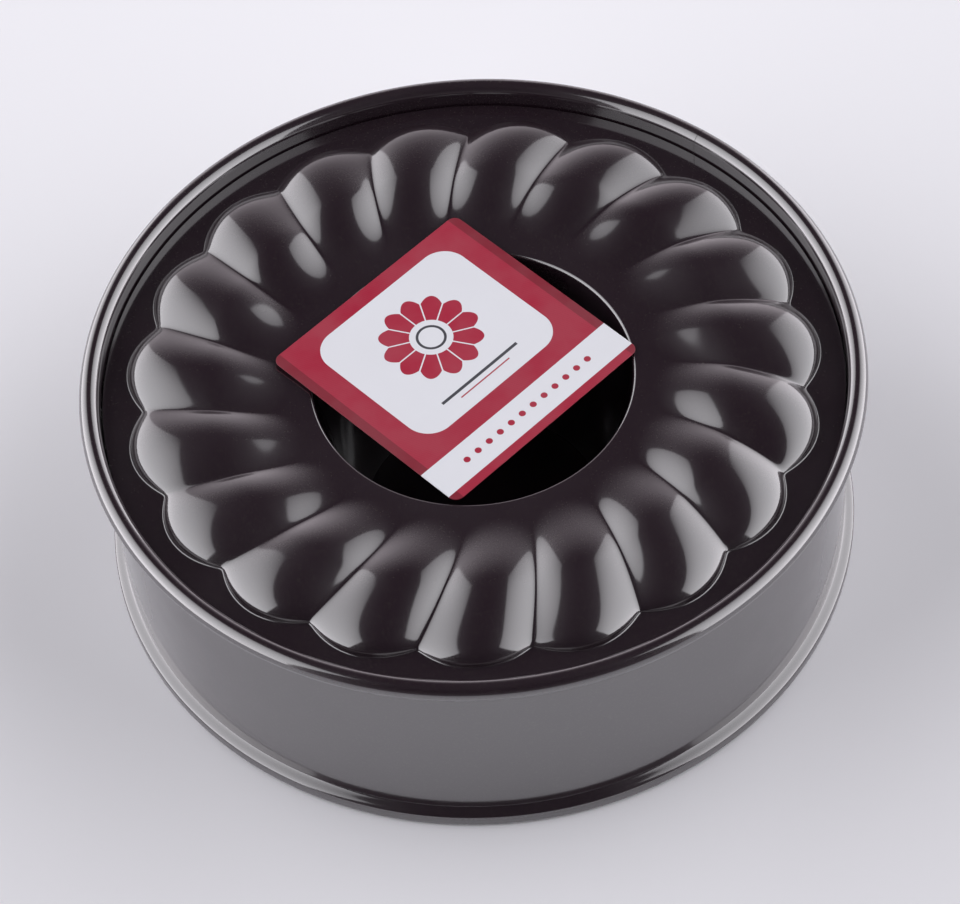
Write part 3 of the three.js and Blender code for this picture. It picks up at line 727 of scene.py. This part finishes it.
def wall_point(ring, along, out):
    """Place on the latch's wall: along from the split and out from the band's outer face."""
    wall = ring.inner_radius + ring.sheet
    angle = ring.split_angle - along / wall
    return np.array([(wall + out) * math.cos(angle), (wall + out) * math.sin(angle)])


def bail_route(ring, latch):
    """Middle line of the wire bail, with its corners rounded by quadratic curves."""
    bend_steps = 10
    pivot = wall_point(ring, latch.link_along, latch.link_out)
    bar = wall_point(ring, latch.bar_along, latch.bar_out)
    wide, end = latch.bail_half_width, latch.bail_end
    corners = np.array([(*pivot, end), (*pivot, wide), (*bar, wide), (*bar, -wide), (*pivot, -wide),
                        (*pivot, -end)])
    blend = np.linspace(0, 1, bend_steps)[:, None]
    parts = [corners[:1]]
    for before, corner, after in zip(corners[:-2], corners[1:-1], corners[2:]):
        enter = corner + (before - corner) / np.linalg.norm(before - corner) * latch.wire_bend
        leave = corner + (after - corner) / np.linalg.norm(after - corner) * latch.wire_bend
        parts.append((1 - blend) ** 2 * enter + 2 * blend * (1 - blend) * corner + blend**2 * leave)
    parts.append(corners[-1:])
    return np.vstack(parts) + np.array([0, 0, latch.level])


def tube_along(route, side, radius, sides):
    """A round wire carried along a route that lies in one plane: each ring is spread by the plane's
    normal, side, and by the cross product of the route's direction with it. Both ends close in a small
    chamfer."""
    along = np.gradient(route, axis=0)
    along /= np.linalg.norm(along, axis=1, keepdims=True)
    up = np.cross(along, side)
    angle = full_turn(sides)[:, None]
    spoke = np.cos(angle) * side + np.sin(angle) * up[:, None]
    chamfer = radius / 4
    starts = [route[0] + 0 * spoke[0], route[0] + (radius - chamfer) * spoke[0]]
    ends = [route[-1] + (radius - chamfer) * spoke[-1], route[-1] + 0 * spoke[-1]]
    body = route[:, None] + radius * spoke
    body[0] += chamfer * along[0]
    body[-1] -= chamfer * along[-1]
    return np.concatenate([starts, body, ends])


def wire_bail(ring, latch):
    """The wire bail between the lever and the hook."""
    route = bail_route(ring, latch)
    reach = route[len(route) // 2] - route[0]
    side = np.array([reach[1], -reach[0], 0]) / math.hypot(reach[0], reach[1])
    points = tube_along(route, side, latch.wire_radius, sides=20)
    return mesh_piece("wire_bail", points, grid_faces(*points.shape[:2], False, True))


def rivet_place(node, ring, latch):
    """Matrix of a rivet, from its tail at the origin along +Z, and its whole length, from its CAD box: the
    pivot's rivets stand up and down out of the lever, the others out from the wall."""
    low, high = (Vector(corner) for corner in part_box(node))
    middle = (low + high) / 2
    if node.startswith("pivot"):
        upper = node.endswith("upper")
        x, y = wall_point(ring, latch.pivot_along, latch.pivot_out)
        place = Matrix.Translation((x, y, low.z if upper else high.z))
        return place @ Matrix.Rotation(0 if upper else math.pi, 4, "X"), high.z - low.z
    outward = Vector((middle.x, middle.y, 0)).normalized()
    place = Matrix.Translation((*(outward * ring.inner_radius).xy, middle.z))
    turned = outward.to_track_quat("Z", "Y").to_matrix().to_4x4()
    return place @ turned, 2 * (middle.xy.length - ring.inner_radius)


def rivet_piece(name, latch, reach, matrix):
    """A rivet: shank with a chamfered tail, and a domed head whose edge is rounded, turned about its own
    axis and then set in place."""
    dome_steps, turn_steps = 10, 32
    edge_angle, tail_share, neck_share, tail_chamfer = 8, 0.9, 0.97, 0.1 * MM
    head = reach - latch.rivet_dome
    swing = np.radians(np.linspace(edge_angle, 90, dome_steps))
    dome = np.stack([latch.rivet_head * np.cos(swing), head + latch.rivet_dome * np.sin(swing)], axis=1)
    shank = [(0, 0), (latch.rivet_shank * tail_share, 0), (latch.rivet_shank, tail_chamfer),
             (latch.rivet_shank, head), (latch.rivet_head * neck_share, head)]
    profile = np.vstack([shank, dome])
    profile[-1, 0] = 0
    points = turned_points(profile, full_turn(turn_steps))
    points = points @ np.array(matrix.to_3x3()).T + np.array(matrix.translation)
    return mesh_piece(name, points, grid_faces(*points.shape[:2], False, True))


def plate_copy(name, node, edge):
    """A plate of the latch: the CAD shape with its flat faces whole, and its edges broken by a bevel. Points
    that the bevel brings together are joined."""
    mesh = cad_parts[node].data.copy()
    mesh.name = name
    work = bmesh.new()
    work.from_mesh(mesh)
    bmesh.ops.remove_doubles(work, verts=work.verts, dist=PLATE_MERGE)
    bmesh.ops.dissolve_limit(work, angle_limit=FLAT_ANGLE, verts=work.verts, edges=work.edges)
    work.to_mesh(mesh)
    work.free()
    shade_by_angle(mesh)
    piece = bpy.data.objects.new(name, mesh)
    bpy.context.scene.collection.objects.link(piece)
    bevel = piece.modifiers.new("broken_edges", "BEVEL")
    bevel.width = edge
    bevel.segments = 2
    bevel.limit_method = "ANGLE"
    bevel.angle_limit = SMOOTH_ANGLE
    weld = piece.modifiers.new("joined_points", "WELD")
    weld.merge_threshold = BEVEL_MERGE
    return piece


# Stage


def make_floor(scene):
    """A wide round floor under the pan."""
    turn_steps = 96
    radii = np.array([0, 1 / 30, 1 / 9, 1 / 3, 1]) * scene.pan_stage.floor_reach
    points = turned_points(np.stack([radii, 0 * radii], axis=1), full_turn(turn_steps))
    floor = mesh_piece("studio_floor", points, grid_faces(*points.shape[:2], False, True)[:, ::-1])
    floor.data.materials.append(floor_material(scene.pan_colours))


def make_world(scene):
    """A plain sky, pale at the far and side horizon, dark overhead and towards the viewer. The glow is the
    square of what is left of the way up to its top. From the side to the front, which are the Y parts of
    two directions, it falls to the front's share."""
    side, front, front_share = -0.1, -0.8, 0.08
    stage = scene.pan_stage
    world = bpy.data.worlds.new("studio_sky")
    scene.world = world
    world.use_nodes = True
    tree = world.node_tree
    aim = tree.nodes.new("ShaderNodeTexCoord").outputs["Generated"]
    axes = add_node(tree, "ShaderNodeSeparateXYZ", {"Vector": aim}).outputs
    low = ranged(tree, axes["Z"], span=(0, stage.glow_top), result=(1, 0))
    glow = low * low * ranged(tree, axes["Y"], span=(front, side), result=(front_share, 1))
    colour = blend_colour(tree, glow, rgba(stage.sky_dark), rgba(stage.sky_far))
    sky = tree.nodes["Background"].inputs
    tree.links.new(colour, sky["Color"])
    sky["Strength"].default_value = stage.sky_strength


def make_lamps(scene):
    """Bright walls of cloth that stand on the floor at the left and right, as of a light tent."""
    stage = scene.pan_stage
    middle = Vector((0, stage.cloth_back, stage.cloth_height / 2))
    for name, inward, watts in (("cloth_left", Vector((1, 0, 0)), stage.cloth_left),
                                ("cloth_right", Vector((-1, 0, 0)), stage.cloth_right)):
        data = bpy.data.lights.new(name, "AREA")
        data.shape = "RECTANGLE"
        data.size, data.size_y = stage.cloth_width, stage.cloth_height
        data.energy = watts
        data.spread = stage.cloth_spread
        data.color = stage.cloth_tint
        light = bpy.data.objects.new(name, data)
        light.visible_camera = False
        turned = inward.to_track_quat("-Z", "Y").to_matrix().to_4x4()
        light.matrix_world = Matrix.Translation(middle - stage.cloth_distance * inward) @ turned
        scene.collection.objects.link(light)


def make_camera(scene):
    """The camera looks along +Y and down on the middle of the rim, turned a little about its own axis."""
    stage, ring = scene.pan_stage, scene.pan_ring
    target = Vector((0, 0, ring.height - ring.curl_radius))
    forward = Vector((0, math.cos(stage.elevation), -math.sin(stage.elevation)))
    right = Vector((1, 0, 0))
    up = right.cross(forward)
    across = right * math.cos(stage.roll) - up * math.sin(stage.roll)
    above = up * math.cos(stage.roll) + right * math.sin(stage.roll)
    turned = Matrix((across, above, -forward)).transposed().to_4x4()
    data = bpy.data.cameras.new("photo_camera")
    data.sensor_width = stage.sensor
    data.lens = stage.lens
    data.shift_x, data.shift_y = stage.shift_x, stage.shift_y
    camera = bpy.data.objects.new("photo_camera", data)
    camera.matrix_world = Matrix.Translation(target - forward * stage.distance) @ turned
    scene.collection.objects.link(camera)
    scene.camera = camera


# Operators


class PAN_OT_stage(Operator):
    """Build the floor, the lights, the sky and the camera"""

    bl_idname = "pan.stage"
    bl_label = "Stage"

    def execute(self, context):
        scene = context.scene
        make_floor(scene)
        make_world(scene)
        make_lamps(scene)
        make_camera(scene)
        scene.view_settings.view_transform = "Standard"
        return {"FINISHED"}


class PAN_OT_ring(Operator):
    """Build the coated ring with its rolled rim and hollow foot"""

    bl_idname = "pan.ring"
    bl_label = "Coated ring"

    def execute(self, context):
        scene = context.scene
        piece = ring_band(scene.pan_ring)
        dress(piece, "ring", "coat", coat_of(scene), "ring_band")
        return {"FINISHED"}


class PAN_OT_bottoms(Operator):
    """Build the flat bottom and the fluted tube bottom"""

    bl_idname = "pan.bottoms"
    bl_label = "Flat and fluted bottoms"

    def execute(self, context):
        scene = context.scene
        dress(flat_bottom(scene.pan_bottoms), "flat_bottom", "coat", coat_of(scene), "flat_base")
        dress(tube_bottom(scene.pan_bottoms), "tube_bottom", "coat", coat_of(scene), "tube_base")
        return {"FINISHED"}


class PAN_OT_card(Operator):
    """Build the printed card on the mouth"""

    bl_idname = "pan.card"
    bl_label = "Printed card"

    def execute(self, context):
        scene = context.scene
        sizes = scene.pan_card
        low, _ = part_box("card")
        base_level = low.z + sizes.side / 2 * math.sin(sizes.lean)
        material = card_material(scene.pan_colours, scene.pan_print, sizes.side)
        dress(printed_card(sizes, base_level), "loose_card", "card", material, "card")
        return {"FINISHED"}


class PAN_OT_latch(Operator):
    """Build the latch's brackets, lever and wire bail"""

    bl_idname = "pan.latch"
    bl_label = "Latch"

    def execute(self, context):
        scene = context.scene
        plated = plated_of(scene)
        for node, body in (("hinge_bracket", "ring"), ("catch_bracket", "ring"), ("latch_lever", "lever")):
            dress(plate_copy(f"plated_{node}", node, scene.pan_latch.edge), body, "plated", plated, node)
        bail = wire_bail(scene.pan_ring, scene.pan_latch)
        dress(bail, "link", "plated", plated, "wire_link")
        return {"FINISHED"}


class PAN_OT_rivets(Operator):
    """Build the rivets of the brackets and of the lever's pivot"""

    bl_idname = "pan.rivets"
    bl_label = "Rivets"

    def execute(self, context):
        scene = context.scene
        for node in ("hinge_rivet_upper", "hinge_rivet_lower", "catch_rivet_upper", "catch_rivet_lower",
                     "pivot_rivet_upper", "pivot_rivet_lower"):
            matrix, reach = rivet_place(node, scene.pan_ring, scene.pan_latch)
            piece = rivet_piece(f"plated_{node}", scene.pan_latch, reach, matrix)
            dress(piece, "ring", "plated", plated_of(scene), node)
        return {"FINISHED"}


# Panel and registration


class PAN_PT_build(Panel):
    """Buttons and settings of the cake pan"""

    bl_idname = "PAN_PT_build"
    bl_label = "Cake pan"
    bl_space_type = "VIEW_3D"
    bl_region_type = "UI"
    bl_category = "Cake pan"

    def draw(self, context):
        """Show a button for each operator, then each group's settings in a box of its own."""
        for operator in OPERATORS:
            self.layout.operator(operator.bl_idname)
        for group in GROUPS:
            box = self.layout.box()
            settings = getattr(context.scene, group)
            for name in settings.__annotations__:
                box.prop(settings, name)


GROUPS = {
    "pan_ring": RingSizes,
    "pan_bottoms": BottomSizes,
    "pan_card": CardSizes,
    "pan_print": PrintSizes,
    "pan_latch": LatchSizes,
    "pan_colours": PanColours,
    "pan_stage": StageSettings,
}
OPERATORS = (PAN_OT_stage, PAN_OT_ring, PAN_OT_bottoms, PAN_OT_card, PAN_OT_latch, PAN_OT_rivets)


def register():
    """Register the groups of settings, the operators and the panel."""
    for item in (*GROUPS.values(), *OPERATORS, PAN_PT_build):
        bpy.utils.register_class(item)
    for name, group in GROUPS.items():
        setattr(bpy.types.Scene, name, PointerProperty(type=group))


def unregister():
    """Take back what register did."""
    for name in GROUPS:
        delattr(bpy.types.Scene, name)
    for item in (PAN_PT_build, *reversed(OPERATORS), *reversed(GROUPS.values())):
        bpy.utils.unregister_class(item)


def main():
    """Build the stage and every piece."""
    register()
    bpy.ops.pan.stage()
    bpy.ops.pan.ring()
    bpy.ops.pan.bottoms()
    bpy.ops.pan.card()
    bpy.ops.pan.latch()
    bpy.ops.pan.rivets()


if __name__ == "__main__":
    main()
